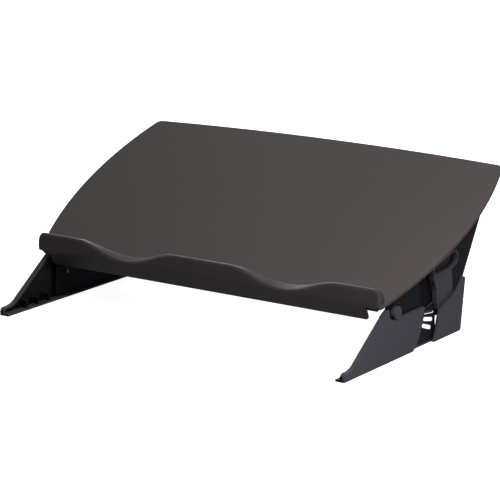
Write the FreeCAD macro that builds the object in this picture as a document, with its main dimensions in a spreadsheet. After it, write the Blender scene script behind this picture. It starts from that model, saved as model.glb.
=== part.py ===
"""Gliding document slope for a desk, as a parametric FreeCAD document.

Two hollow legs stand on the desk, and each holds a steel pivot pin. A carrier turns on the two
pins to three heights, held by a squeeze lever beside each leg. A wide platform with a wavy ledge
glides on the carrier. Millimetres, +Z up, +Y towards the back, +X to the right. The origin is on
the desk, under the middle of the whole box. Side outlines are drawn as (y, z) from the tip of the
toes.
"""
import FreeCAD, Part
import math
import os

import Sketcher
from FreeCAD import Placement, Rotation, Vector

doc = FreeCAD.newDocument("document_slope")

# ---------------------------------------------------------------- driving dimensions
DIMS = {
    # platform, in its own plane: across, up the slope from the desk's front line, and above it
    "slope_angle": 24.46, "slope_rise": 34.4, "plate_half": 279.5, "plate_front": 86.5,
    "plate_back": 392.5, "plate_back_end": 384.5, "plate_widest": 252.0, "plate_side_radius": 460.0,
    "plate_thick": 4.0, "plate_front_corner": 6.0, "plate_back_corner": 10.0, "plate_edge": 1.0,
    "bead_width": 3.0, "bead_drop": 2.2, "bead_end": 4.0,
    # ledge: end face, crest, wave and skirt
    "ledge_half": 248.6, "ledge_face_y": 75.0, "ledge_face_z": 72.0, "ledge_face_round": 14.0,
    "crest_y": 76.6, "crest_z": 92.6, "ledge_back": 100.0, "ledge_back_height": 16.5,
    "ledge_seat": 0.2,
    "skirt_wall": 2.7, "skirt_front": 83.5, "skirt_drop": 18.0, "skirt_step": 17.1,
    "skirt_corner": 3.0, "wave_inset": 132.6, "wave_middle": 32.0, "wave_depth": 20.0,
    "wave_rise": 10.6, "wave_spare": 0.8, "wave_back_y": 88.0, "wave_spread": 23.0,
    "wave_run": 4.0, "crest_width": 3.0, "crest_round": 1.5, "ledge_end_corner": 9.0,
    "ledge_screw_depth": 6.0, "ledge_screw_v": 93.6, "ledge_screw_inner": 40.0,
    "ledge_screw_outer": 43.6, "ledge_screw_end": 13.6,
    # leg moulding
    "leg_outer": 250.7, "leg_wall": 2.5, "bottom_depth": 12.5, "slope_depth": 6.0,
    "toe_round": 1.0, "toe_height": 10.0, "toe_radius": 5.0, "toe_back_y": 20.0,
    "toe_back_z": 11.2, "slope_radius": 25.0, "slope_flange_end": 93.0, "peak_y": 98.8,
    "peak_z": 66.2, "peak_width": 1.0, "peak_radius": 2.5, "notch_y": 100.8, "notch_radius": 8.5,
    "leg_top": 49.4, "lobe_back_y": 181.6, "lobe_mid_y": 175.8, "lobe_mid_z": 29.0,
    "lobe_low_y": 164.0, "lobe_low_z": 6.0, "lobe_end_y": 156.0, "heel_front_y": 206.0,
    "heel_mid_y": 212.4, "heel_mid_z": 17.5, "heel_top_y": 218.2, "heel_top_z": 37.5,
    "heel_dip_y": 251.0, "heel_dip_z": 48.3, "heel_scoop_y": 263.3, "heel_scoop_z": 56.6,
    "heel_tip_y": 273.0, "heel_tip_z": 68.2, "heel_end_y": 280.8, "heel_end_z": 65.5,
    "heel_end_radius": 3.0, "heel_bottom_y": 272.0, "heel_bottom_radius": 2.5,
    "heel_wall_depth": 3.2, "heel_flange_end": 4.0, "rib_first": 40.0, "rib_pitch": 22.0,
    "rib_height": 9.0, "rib_thick": 2.0,
    # feet, inlaid in the legs
    "foot_thick": 1.2, "foot_recess": 0.9, "foot_radius": 4.5, "foot_front": 12.0,
    "foot_middle": 134.0, "foot_rear": 262.0,
    # tilt pivot
    "pivot_y": 116.5, "pivot_z": 56.5, "pivot_radius": 4.0, "fit_gap": 0.02, "notch_gap": 0.6,
    "run_gap": 0.05, "cap_radius": 8.2, "cap_proud": 1.8, "cap_floor": 2.0, "cap_round": 1.2,
    "side_gap": 0.3, "bush_wall": 1.5, "bush_flange": 1.2, "hub_radius": 8.0, "hub_floor": 1.2,
    # height plate with its latch slots
    "plate_gap": 4.5, "web_thick": 1.6, "web_radius": 99.3, "web_top_angle": -8.8,
    "web_middle_y": 214.6, "web_middle_z": 27.0, "web_low_y": 215.6, "web_low_z": 15.4,
    "web_front_y": 104.0, "ear_front_y": 93.8, "ear_front_z": 62.3, "ear_tip_y": 103.0,
    "ear_tip_z": 67.3, "ear_top_y": 105.5, "ear_top_z": 74.6, "ear_low_z": 57.0,
    "ear_round": 4.0, "ear_heel_drop": 1.5,
    "ear_radius": 60.8, "ear_high_angle": 30.8, "ear_low_angle": -6.0,
    "tail_height": 11.4, "tail_back_y": 262.0, "slot_radius": 86.3, "slot_angle": -12.0,
    "slot_step": 6.0, "slot_skew": 5.5, "slot_length": 24.6, "slot_width": 5.0,
    "boss_front_y": 126.0, "boss_front_z": 32.0, "boss_middle_y": 156.0, "boss_middle_z": 38.0,
    "boss_rear_y": 240.0, "boss_rear_z": 7.6,
    # side panels of the carrier
    "panel_outer": 237.5, "panel_thick": 4.5, "panel_top_gap": 2.0, "panel_front": 126.5,
    "panel_back": 382.0, "panel_low": 38.5, "panel_low_back_y": 268.0, "panel_heel_y": 295.2,
    "panel_heel_z": 56.0, "panel_tail_y": 352.0, "panel_tail_z": 151.0, "panel_nose": 15.0,
    "panel_throat_y": 122.6, "panel_throat_z": 60.6, "panel_lip_y": 104.5, "panel_lip_z": 51.5,
    "panel_round": 13.0, "panel_top_round": 3.0,
    "panel_screw_first": 165.0, "panel_screw_pitch": 90.0, "knuckle_root": 1.0,
    "knuckle_flare": 1.6,
    # deck of the carrier
    "deck_drop": 11.0, "deck_thick": 3.0, "deck_front": 130.0, "deck_back": 375.0,
    "deck_flange": 12.0, "flange_thick": 2.5,
    # glide
    "glide_travel": 70.0, "rail_place": 170.0, "rail_width": 26.0, "rail_height": 6.2,
    "rail_wall": 1.5, "rail_mouth": 10.0, "slide_gap": 0.3, "runner_back": 366.0,
    "runner_length": 155.0, "buffer_length": 3.0, "pad_radius": 9.0, "pad_inset": 22.0,
    "pad_offset": 40.0, "rail_screw_inset": 25.0, "runner_screw_inset": 20.0,
    # latch levers
    "lever_face": 2.0, "lever_thick": 7.7, "lever_taper": 2.0, "lever_pin_z": 70.0,
    "lever_pin_depth": 5.5, "pin_radius": 1.2, "knuckle_y": 232.0, "knuckle_thick": 3.0,
    "knuckle_wall": 1.0, "pin_length": 19.0, "arm_thick": 1.9, "nose_width": 4.0,
    "nose_length": 20.0, "nose_shift": 1.7, "head_inset": 1.0, "head_front_y": 207.0,
    "head_front_z": 95.0, "head_back_y": 257.5, "head_back_z": 93.2, "head_radius": 10.3,
    "head_rim": 3.0, "head_low_front_z": 79.0, "head_low_back_y": 248.0, "head_low_back_z": 79.8,
    "dish_depth": 4.6, "stem_toe_y": 223.0, "stem_toe_z": 36.5, "stem_sole_y": 236.0,
    "stem_sole_z": 37.0, "stem_calf_y": 259.0, "stem_calf_z": 48.0, "stem_back_y": 250.5,
    "stem_top_z": 82.0, "stem_front_y": 208.8, "stem_shoulder_z": 76.0, "stem_waist_y": 216.2,
    "stem_waist_z": 62.5, "stem_shin_y": 219.2, "stem_radius": 1.5, "arm_front_y": 189.0,
    "arm_front_z": 36.0, "arm_front_top_z": 43.0, "arm_knee_y": 205.0, "arm_knee_z": 42.5,
    "arm_root_y": 219.5, "arm_back_y": 234.0, "arm_drop_y": 224.0, "arm_drop_z": 27.8,
    "arm_back_z": 38.5, "arm_top_z": 46.0,
    "leaf_thick": 0.5, "leaf_width": 8.0, "leaf_offset": 8.0, "leaf_top": 66.0, "leaf_bend": 57.0,
    "leaf_tip_bend": 49.5, "leaf_tip": 47.0, "leaf_press": 0.9,
    # screws
    "screw_radius": 1.5, "screw_head": 2.8, "screw_head_height": 1.8, "boss_radius": 3.6,
    "hole_floor": 1.0, "cut_spare": 1.0, "corner_round": 1.0,
}


class Size(float):
    """A number together with the sheet expression that gives it."""

    def __new__(cls, number, text):
        self = super().__new__(cls, number)
        self.text = text
        return self

    def __add__(self, other):
        return Size(float(self) + float(other), f"({self.text} + {text_of(other)})")

    def __radd__(self, other):
        return Size(float(other) + float(self), f"({text_of(other)} + {self.text})")

    def __sub__(self, other):
        return Size(float(self) - float(other), f"({self.text} - {text_of(other)})")

    def __rsub__(self, other):
        return Size(float(other) - float(self), f"({text_of(other)} - {self.text})")

    def __mul__(self, other):
        return Size(float(self) * float(other), f"({self.text} * {text_of(other)})")

    __rmul__ = __mul__

    def __truediv__(self, other):
        return Size(float(self) / float(other), f"({self.text} / {text_of(other)})")

    def __neg__(self):
        return Size(-float(self), f"(0 - {self.text})")


def text_of(value):
    return value.text if isinstance(value, Size) else f"{float(value):.6f}"


class Dims:
    """One attribute for each alias of the sheet."""


sheet = doc.addObject("Spreadsheet::Sheet", "dims")
for row, (alias, number) in enumerate(DIMS.items(), start=1):
    sheet.set(f"A{row}", alias)
    sheet.set(f"B{row}", str(number))
    sheet.setAlias(f"B{row}", alias)
doc.recompute()
d = Dims()
for alias in DIMS:
    setattr(d, alias, Size(getattr(sheet, alias), f"dims.{alias}"))


def put(item, path, value):
    """Tie a property to the sheet, or set it when the value is worked out in code."""
    if isinstance(value, Size):
        item.setExpression(path, value.text)
    else:
        setattr(item, path, value)


# ---------------------------------------------------------------- worked-out places
TILT = math.radians(d.slope_angle)
MIDDLE = (d.plate_back * math.cos(TILT) + d.plate_thick * math.sin(TILT)) / 2
SIDES = ((-1, "left"), (1, "right"))
PIVOT = (d.pivot_y, d.pivot_z)
DESK = Placement(Vector(0, -MIDDLE, 0), Rotation())
SLOPE = Placement(Vector(0, -MIDDLE, d.slope_rise), Rotation(Vector(1, 0, 0), float(d.slope_angle)))

rim_inner = d.leg_outer - d.plate_gap
skin_inner = d.leg_outer - d.leg_wall
web_inner = rim_inner - d.web_thick
panel_inner = d.panel_outer - d.panel_thick
leg_low = d.foot_thick - d.foot_recess
flange_top = leg_low + d.leg_wall
deck_top = -d.deck_drop
deck_under = deck_top - d.deck_thick
rail_top = deck_top + d.rail_height
deck_half = panel_inner - d.side_gap
bush_outer = d.pivot_radius + d.run_gap + d.bush_wall
bush_face = web_inner - d.side_gap
hub_face = bush_face - d.bush_flange
bore_floor = d.panel_outer + d.hub_floor
lever_inner = d.panel_outer + d.lever_face
lever_pin_x = d.panel_outer + d.lever_pin_depth
runner_front = d.runner_back - d.runner_length
plate_top = Size(0.0, "0")
skirt_half = d.ledge_half - d.skirt_step
wave_place = d.ledge_half - d.wave_inset
wave_half = wave_place - d.wave_middle
foot_places = (d.foot_front, d.foot_middle, d.foot_rear)
bosses = ((d.boss_front_y, d.boss_front_z), (d.boss_middle_y, d.boss_middle_z),
          (d.boss_rear_y, d.boss_rear_z))
panel_screw_places = [d.panel_screw_first + number * d.panel_screw_pitch for number in range(3)]
ledge_screw_places = [side * place for side in (-1, 1)
                      for place in (d.ledge_screw_inner, d.ledge_half - d.ledge_screw_outer,
                                    d.ledge_half - d.ledge_screw_end)]


def on_slope(v, height):
    """Side-view place (y, z) of a point given along and above the platform's plane."""
    return (v * math.cos(TILT) - height * math.sin(TILT),
            d.slope_rise + v * math.sin(TILT) + height * math.cos(TILT))


def around_pivot(radius, degrees):
    angle = math.radians(degrees)
    return PIVOT[0] + radius * math.cos(angle), PIVOT[1] + radius * math.sin(angle)


# ---------------------------------------------------------------- drawing helpers
def new_body(label, place=DESK):
    body = doc.addObject("PartDesign::Body", label)
    body.Label = label
    body.Placement = place
    return body


def new_sketch(body, name, plane):
    sketch = body.newObject("Sketcher::SketchObject", name)
    planes = [feature for feature in body.Origin.OriginFeatures if feature.Role == plane]
    sketch.AttachmentSupport = (planes[0], [""])
    sketch.MapMode = "FlatFace"
    return sketch


def flat(point):
    return Vector(float(point[0]), float(point[1]), 0)


def edges_of(corners):
    """Closed outline as lines and arcs.

    A corner is (x, y), (x, y, radius) for a rounded one, or (x, y, "via") for a point that the
    arc between its neighbours passes through.
    """
    stops = [index for index, corner in enumerate(corners) if corner[-1] != "via"]
    ends = {}
    for place, index in enumerate(stops):
        corner = corners[index]
        here = flat(corner)
        radius = corner[2] if len(corner) > 2 else 0
        if radius <= 0:
            ends[index] = (here, None, here)
            continue
        before = flat(corners[stops[place - 1]]) - here
        after = flat(corners[stops[(place + 1) % len(stops)]]) - here
        before.normalize()
        after.normalize()
        half = before.getAngle(after) / 2
        reach = radius / math.tan(half)
        middle = before + after
        middle.normalize()
        centre = here + middle * (radius / math.sin(half))
        ends[index] = (here + before * reach, centre - middle * radius, here + after * reach)
    edges = []
    for place, index in enumerate(stops):
        start, top, end = ends[index]
        following = stops[(place + 1) % len(stops)]
        target = ends[following][0]
        if top is not None:
            edges.append(Part.Arc(start, top, end))
        between = (index + 1) % len(corners)
        if between != following:
            edges.append(Part.Arc(end, flat(corners[between]), target))
        elif (target - end).Length > 1e-6:
            edges.append(Part.LineSegment(end, target))
    return edges


def inset_edges(edges, distance):
    """The same closed outline, moved inwards by a distance."""
    wire = Part.Wire([edge.toShape() for edge in edges])
    inner = wire.makeOffset2D(-float(distance))
    result = []
    for edge in inner.Edges:
        if isinstance(edge.Curve, Part.Line):
            result.append(Part.LineSegment(edge.Vertexes[0].Point, edge.Vertexes[1].Point))
        elif len(edge.Vertexes) == 1:
            result.append(edge.Curve)
        else:
            result.append(Part.ArcOfCircle(edge.Curve, edge.FirstParameter, edge.LastParameter))
    return result


def draw_polygon(sketch, corners):
    """Closed line outline; every corner is held by two dimensions, tied to the sheet."""
    count = len(corners)
    for index in range(count):
        start = flat(corners[index])
        end = flat(corners[(index + 1) % count])
        sketch.addGeometry(Part.LineSegment(start, end), False)
    for index in range(count):
        following = (index + 1) % count
        sketch.addConstraint(Sketcher.Constraint("Coincident", index, 2, following, 1))
    for index, corner in enumerate(corners):
        for kind, value in zip(("DistanceX", "DistanceY"), corner):
            number = sketch.addConstraint(Sketcher.Constraint(kind, index, 1, float(value)))
            if isinstance(value, Size):
                sketch.setExpression(f"Constraints[{number}]", value.text)


def draw(sketch, outline):
    """Fill a sketch: corners make a dimensioned polygon, ready edges go in as they are."""
    if isinstance(outline[0], tuple) and all(len(corner) == 2 for corner in outline):
        draw_polygon(sketch, outline)
    elif isinstance(outline[0], tuple):
        sketch.addGeometry(edges_of(outline), False)
    else:
        sketch.addGeometry(outline, False)


def box_corners(x1, x2, y1, y2):
    return [(x1, y1), (x2, y1), (x2, y2), (x1, y2)]


def add_feature(body, kind, name, sketch, length):
    """Pad or pocket the sketch; a pocket goes the same way as a pad would."""
    feature = body.newObject("PartDesign::" + kind, name)
    feature.Profile = sketch
    put(feature, "Length", length)
    feature.Reversed = kind == "Pocket"
    body.Tip = feature
    return feature


def side_feature(body, kind, name, outline, side, inner, outer):
    """Pad or pocket of a side outline, between two distances from the middle plane."""
    sketch = new_sketch(body, name + "_outline", "YZ_Plane")
    draw(sketch, outline)
    put(sketch, "AttachmentOffset.Base.z", inner if side > 0 else -outer)
    return add_feature(body, kind, name, sketch, outer - inner)


def side_circle(body, kind, name, centre, radius, side, inner, outer):
    """The same for a circle, whose centre and radius are held by dimensions."""
    sketch = new_sketch(body, name + "_outline", "YZ_Plane")
    draw_circles(sketch, [centre], radius)
    put(sketch, "AttachmentOffset.Base.z", inner if side > 0 else -outer)
    return add_feature(body, kind, name, sketch, outer - inner)


def draw_circles(sketch, centres, radius):
    for index, centre in enumerate(centres):
        circle = Part.Circle(flat(centre), Vector(0, 0, 1), float(radius))
        sketch.addGeometry(circle, False)
        for kind, value in zip(("DistanceX", "DistanceY"), centre):
            number = sketch.addConstraint(Sketcher.Constraint(kind, index, 3, float(value)))
            if isinstance(value, Size):
                sketch.setExpression(f"Constraints[{number}]", value.text)
        number = sketch.addConstraint(Sketcher.Constraint("Radius", index, float(radius)))
        if isinstance(radius, Size):
            sketch.setExpression(f"Constraints[{number}]", radius.text)


def top_feature(body, kind, name, outline, low, high):
    """Pad or pocket of an outline seen from above, between two heights."""
    sketch = new_sketch(body, name + "_outline", "XY_Plane")
    draw(sketch, outline)
    put(sketch, "AttachmentOffset.Base.z", low)
    return add_feature(body, kind, name, sketch, high - low)


def top_circles(body, kind, name, centres, radius, low, high):
    sketch = new_sketch(body, name + "_outline", "XY_Plane")
    draw_circles(sketch, centres, radius)
    put(sketch, "AttachmentOffset.Base.z", low)
    return add_feature(body, kind, name, sketch, high - low)


def front_feature(body, kind, name, outline, front, back):
    """Pad or pocket of an outline seen from the front, between two places along Y."""
    sketch = new_sketch(body, name + "_outline", "XZ_Plane")
    draw(sketch, outline)
    put(sketch, "AttachmentOffset.Base.z", -back)
    return add_feature(body, kind, name, sketch, back - front)


def front_circle(body, kind, name, centre, radius, front, back):
    sketch = new_sketch(body, name + "_outline", "XZ_Plane")
    draw_circles(sketch, [centre], radius)
    put(sketch, "AttachmentOffset.Base.z", -back)
    return add_feature(body, kind, name, sketch, back - front)


def round_edges(body, kind, name, wanted, amount):
    """Fillet or chamfer every edge of the tip that the test accepts."""
    doc.recompute()
    base = body.Tip
    names = [f"Edge{number}" for number, edge in enumerate(base.Shape.Edges, 1) if wanted(edge)]
    feature = body.newObject("PartDesign::" + kind, name)
    feature.Base = (base, names)
    put(feature, "Radius" if kind == "Fillet" else "Size", amount)
    body.Tip = feature
    return feature


def at_face(edge, side, x):
    """Whether an edge lies wholly at a distance from the middle plane, on one side."""
    box = edge.BoundBox
    return box.XLength < 0.01 and abs(edge.CenterOfMass.x - side * float(x)) < 0.01


def group(label, items):
    """Several separate solids of the same kind as one node."""
    compound = doc.addObject("Part::Compound", label)
    compound.Label = label
    compound.Links = items
    return compound


def slope_place(u, v, height):
    """Placement of a primitive in the platform's own plane."""
    return SLOPE.multiply(Placement(Vector(float(u), float(v), float(height)), Rotation()))


def across_place(x, centre):
    """Placement of a cylinder that runs along X from x, about a point in side view."""
    start = Vector(float(x), float(centre[0]) - MIDDLE, float(centre[1]))
    return Placement(start, Rotation(Vector(0, 1, 0), 90))


def cylinder(label, place, radius, length):
    item = doc.addObject("Part::Cylinder", label)
    item.Label = label
    put(item, "Radius", radius)
    put(item, "Height", length)
    item.Placement = place
    return item


def fuse(label, first, second):
    item = doc.addObject("Part::Fuse", label)
    item.Label = label
    item.Base = first
    item.Tool = second
    return item


def screw(label, place, shank_length):
    """Pan head from the placement's origin downwards, shank upwards."""
    below = place.multiply(Placement(Vector(0, 0, -float(d.screw_head_height)), Rotation()))
    head = cylinder(label + "_head", below, d.screw_head, d.screw_head_height)
    shank = cylinder(label + "_shank", place, d.screw_radius, shank_length)
    return fuse(label, head, shank)


# ---------------------------------------------------------------- legs
def front_lobe():
    """Front part of a leg: toe, slope up to the peak, notch for the cap, top, channel wall."""
    return edges_of([
        (0, leg_low, d.toe_round), (0, d.toe_height, d.toe_radius),
        (d.toe_back_y, d.toe_back_z, d.slope_radius),
        (d.peak_y - d.peak_width, d.peak_z, d.peak_radius), (d.notch_y, d.leg_top, d.notch_radius),
        (d.lobe_back_y, d.leg_top), (d.lobe_mid_y, d.lobe_mid_z, "via"),
        (d.lobe_low_y, d.lobe_low_z), (d.lobe_end_y, leg_low),
    ])


def rear_lobe():
    """Rear part of a leg, with a scooped top that the lever comes down into."""
    return edges_of([
        (d.heel_front_y, leg_low), (d.heel_mid_y, d.heel_mid_z, "via"),
        (d.heel_top_y, d.heel_top_z), (d.heel_dip_y, d.heel_dip_z),
        (d.heel_scoop_y, d.heel_scoop_z, "via"), (d.heel_tip_y, d.heel_tip_z),
        (d.heel_end_y, d.heel_end_z, d.heel_end_radius),
        (d.heel_bottom_y, leg_low, d.heel_bottom_radius),
    ])


def leg(side, label):
    body = new_body(label)
    outer = d.leg_outer
    wall = d.leg_wall
    deep = outer - d.bottom_depth
    middle = outer - d.slope_depth
    side_feature(body, "Pad", "front_skin", front_lobe(), side, skin_inner, outer)
    rim = front_lobe() + inset_edges(front_lobe(), wall)
    side_feature(body, "Pad", "front_rim", rim, side, rim_inner, skin_inner)
    side_feature(body, "Pad", "slope_flange", rim, side, middle, rim_inner)
    spare = box_corners(d.slope_flange_end, d.lobe_back_y + d.cut_spare, leg_low - d.cut_spare,
                        d.peak_z + d.cut_spare)
    side_feature(body, "Pocket", "slope_flange_end", spare, side, middle - d.cut_spare, rim_inner)
    floor_end = d.heel_bottom_y - d.heel_bottom_radius
    bottom = box_corners(d.toe_round, floor_end, leg_low, flange_top)
    side_feature(body, "Pad", "bottom_flange", bottom, side, deep, rim_inner)
    side_feature(body, "Pad", "rear_skin", rear_lobe(), side, skin_inner, outer)
    floor = box_corners(d.heel_front_y + wall / 2, floor_end, leg_low, flange_top)
    side_feature(body, "Pad", "rear_floor", floor, side, rim_inner, skin_inner)
    rise = (d.heel_dip_z - d.heel_top_z) / (d.heel_dip_y - d.heel_top_y)
    front_wall = [(d.heel_front_y, leg_low), (d.heel_mid_y, d.heel_mid_z, "via"),
                  (d.heel_top_y, d.heel_top_z), (d.heel_top_y + wall, d.heel_top_z + wall * rise),
                  (d.heel_mid_y + wall, d.heel_mid_z, "via"), (d.heel_front_y + wall, leg_low)]
    side_feature(body, "Pad", "rear_front_wall", edges_of(front_wall), side,
                 outer - d.heel_wall_depth, skin_inner)
    lean = (d.heel_end_y - d.heel_bottom_y) / (d.heel_end_z - leg_low)
    end_top = d.heel_end_z - d.heel_flange_end
    end_low = leg_low + d.heel_bottom_radius
    end_back = d.heel_bottom_y + lean * d.heel_bottom_radius
    end_high = d.heel_end_y - lean * d.heel_flange_end
    end = [(end_back - wall, end_low), (end_back, end_low), (end_high, end_top),
           (end_high - wall, end_top)]
    side_feature(body, "Pad", "rear_flange", end, side, middle, skin_inner)
    side_circle(body, "Pocket", "cap_notch", PIVOT, d.cap_radius + d.notch_gap, side,
                rim_inner - d.cut_spare, outer)
    centres = [(side * (outer - d.bottom_depth / 2), y) for y in foot_places]
    top_circles(body, "Pocket", "foot_recesses", centres, d.foot_radius + d.fit_gap, leg_low,
                d.foot_thick)
    for number in range(3):
        place = d.rib_first + number * d.rib_pitch
        outline = box_corners(place, place + d.rib_thick, flange_top, flange_top + d.rib_height)
        side_feature(body, "Pad", f"rib_{number}", outline, side, deep + wall, skin_inner)
    for number, place in enumerate(bosses):
        side_circle(body, "Pad", f"boss_{number}", place, d.boss_radius, side, rim_inner,
                    skin_inner)
        side_circle(body, "Pocket", f"screw_hole_{number}", place, d.screw_radius + d.run_gap, side,
                    rim_inner, outer - d.hole_floor)
    return body


def foot(name, side, y):
    centre = Vector(side * float(d.leg_outer - d.bottom_depth / 2), y - MIDDLE, 0)
    return cylinder(name, Placement(centre, Rotation()), d.foot_radius, d.foot_thick)


def height_plate(side, label):
    """Flat plate behind the leg's skin: ear at the pivot, three slots, tail along the bottom."""
    body = new_body(label)
    low = flange_top + d.fit_gap
    ear_middle = around_pivot(d.ear_radius, (d.ear_high_angle + d.ear_low_angle) / 2)
    small = d.corner_round
    outline = [
        (d.web_front_y, low, small), (d.web_front_y, d.leg_top, small),
        (d.ear_front_y, d.ear_low_z, small), (d.ear_front_y, d.ear_front_z, small),
        (d.ear_tip_y, d.ear_tip_z, small), (d.ear_top_y, d.ear_top_z, d.ear_round),
        around_pivot(d.ear_radius, d.ear_high_angle), (*ear_middle, "via"),
        around_pivot(d.ear_radius, d.ear_low_angle), (d.lobe_back_y, d.leg_top - d.ear_heel_drop),
        around_pivot(d.web_radius, d.web_top_angle), (d.web_middle_y, d.web_middle_z),
        (d.web_low_y, d.web_low_z), (d.web_low_y + small, d.tail_height),
        (d.tail_back_y, d.tail_height, small), (d.tail_back_y, low, small),
    ]
    side_feature(body, "Pad", "plate", edges_of(outline), side, web_inner, rim_inner)
    side_circle(body, "Pocket", "pivot_hole", PIVOT, d.pivot_radius + d.fit_gap,
                side, web_inner, rim_inner)
    for number, place in enumerate(bosses):
        side_circle(body, "Pocket", f"screw_hole_{number}", place, d.screw_radius + d.run_gap, side,
                    web_inner, rim_inner)
    sketch = new_sketch(body, "first_slot_outline", "YZ_Plane")
    sketch.addGeometry(slot_edges(d.slot_length, d.slot_width), False)
    put(sketch, "AttachmentOffset.Base.x", d.pivot_y)
    put(sketch, "AttachmentOffset.Base.y", d.pivot_z)
    put(sketch, "AttachmentOffset.Base.z", web_inner if side > 0 else -rim_inner)
    slot = add_feature(body, "Pocket", "first_slot", sketch, d.web_thick)
    row = body.newObject("PartDesign::PolarPattern", "slot_row")
    row.Originals = [slot]
    row.Axis = (sketch, ["N_Axis"])
    row.Reversed = True
    put(row, "Angle", 2 * d.slot_step)
    row.Occurrences = 3
    body.Tip = row
    return body


def slot_edges(length, width, shift=0):
    """Round-ended slot about the pivot as origin, at the height of the first notch."""
    angle = math.radians(d.slot_angle)
    lean = math.radians(d.slot_angle + d.slot_skew)
    centre = Vector(d.slot_radius * math.cos(angle), d.slot_radius * math.sin(angle), 0)
    along = Vector(math.cos(lean), math.sin(lean), 0)
    centre += along * float(shift)
    across = Vector(-along.y, along.x, 0)
    half = along * float((length - width) / 2)
    end = along * float(width / 2)
    edge = across * float(width / 2)
    a, b = centre + half, centre - half
    return [Part.LineSegment(b + edge, a + edge), Part.Arc(a + edge, a + end, a - edge),
            Part.LineSegment(a - edge, b - edge), Part.Arc(b - edge, b - end, b + edge)]


def pivot_cap(side, label):
    """Round cap pressed on the end of the pivot pin, in the notch of the leg."""
    body = new_body(label)
    face = d.leg_outer + d.cap_proud
    side_circle(body, "Pad", "disc", PIVOT, d.cap_radius, side, rim_inner + d.side_gap, face)
    round_edges(body, "Fillet", "rim", lambda edge: at_face(edge, side, face), d.cap_round)
    side_circle(body, "Pocket", "bore", PIVOT, d.pivot_radius + d.fit_gap, side,
                rim_inner + d.side_gap, face - d.cap_floor)
    return body


# ---------------------------------------------------------------- carrier
def side_panel(side, label):
    """Side of the carrier: a plate, a hub on its outer face for the pivot, and a knuckle."""
    body = new_body(label)
    top = -d.plate_thick - d.panel_top_gap
    nose = d.panel_nose
    outline = [
        (*on_slope(d.panel_front, top), d.panel_top_round),
        (*on_slope(d.panel_back, top), d.panel_top_round),
        (d.panel_tail_y, d.panel_tail_z, d.panel_round),
        (d.panel_heel_y, d.panel_heel_z, d.panel_round),
        (d.panel_low_back_y, d.panel_low, d.panel_round), (d.pivot_y + nose, d.panel_low, nose / 2),
        (d.pivot_y - nose, d.pivot_z - nose, nose / 3), (d.panel_lip_y, d.panel_lip_z, nose / 5),
        (d.panel_throat_y, d.panel_throat_z, nose / 5),
    ]
    side_feature(body, "Pad", "panel", outline, side, panel_inner, d.panel_outer)
    side_circle(body, "Pad", "hub", PIVOT, d.hub_radius, side, d.panel_outer, hub_face)
    side_circle(body, "Pocket", "bush_hole", PIVOT, bush_outer, side, bore_floor, hub_face)
    for number, v in enumerate(panel_screw_places):
        place = on_slope(v, deck_under - d.deck_flange / 2)
        side_circle(body, "Pocket", f"screw_hole_{number}", place, d.screw_radius + d.run_gap, side,
                    panel_inner, d.panel_outer)
    half = d.pin_radius + d.knuckle_wall
    tip = side * (lever_pin_x + half)
    root = side * (d.panel_outer - d.knuckle_root)
    flare = half * d.knuckle_flare
    z = d.lever_pin_z
    bend = half - d.fit_gap
    knuckle = [(root, z + flare), (tip, z + half, bend), (tip, z - half, bend), (root, z - flare)]
    front = d.knuckle_y - d.knuckle_thick / 2
    back = d.knuckle_y + d.knuckle_thick / 2
    front_feature(body, "Pad", "knuckle", knuckle, front, back)
    front_circle(body, "Pocket", "pin_hole", (side * lever_pin_x, z), d.pin_radius, front, back)
    return body


def pivot_bush(side, label):
    """Flanged bush in the hub; its flange runs against the height plate."""
    body = new_body(label)
    side_circle(body, "Pad", "sleeve", PIVOT, bush_outer, side, bore_floor, hub_face)
    side_circle(body, "Pad", "flange", PIVOT, d.hub_radius, side, hub_face, bush_face)
    side_circle(body, "Pocket", "bore", PIVOT, d.pivot_radius + d.run_gap, side, bore_floor,
                bush_face)
    return body


def pivot_pin(side, label):
    """Steel pin from the bottom of the bush, through the height plate, into the cap."""
    start = bore_floor + d.side_gap
    end = d.leg_outer + d.cap_proud - d.cap_floor
    return cylinder(label, across_place(start if side > 0 else -end, PIVOT), d.pivot_radius,
                    end - start)


def carrier_deck():
    """Folded sheet: flat top with a flange turned down all round."""
    body = new_body("carrier_deck", SLOPE)
    low = deck_under - d.deck_flange
    whole = box_corners(-deck_half, deck_half, d.deck_front, d.deck_back)
    top_feature(body, "Pad", "blank", whole, low, deck_top)
    inside = box_corners(-deck_half + d.flange_thick, deck_half - d.flange_thick,
                         d.deck_front + d.flange_thick, d.deck_back - d.flange_thick)
    top_feature(body, "Pocket", "hollow", inside, low, deck_under)
    for side, name in SIDES:
        for number, v in enumerate(panel_screw_places):
            sketch = new_sketch(body, f"{name}_hole_{number}_outline", "YZ_Plane")
            draw_circles(sketch, [(v, deck_under - d.deck_flange / 2)], d.screw_radius + d.fit_gap)
            put(sketch, "AttachmentOffset.Base.z",
                deck_half - d.flange_thick if side > 0 else -deck_half)
            add_feature(body, "Pocket", f"{name}_hole_{number}", sketch, d.flange_thick)
        centres = [(side * d.rail_place, v) for v in rail_screw_places()]
        top_circles(body, "Pocket", f"{name}_rail_holes", centres, d.screw_radius + d.run_gap,
                    deck_under, deck_top)
    return body


def rail_ends():
    """Front and back of a rail: the runner's travel, a buffer and a gap at each end."""
    spare = d.buffer_length + d.slide_gap
    return runner_front - d.glide_travel - spare, d.runner_back + spare


def rail_screw_places():
    front, back = rail_ends()
    inset = d.rail_screw_inset
    return [front + inset, (front + back) / 2, back - inset]


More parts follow.
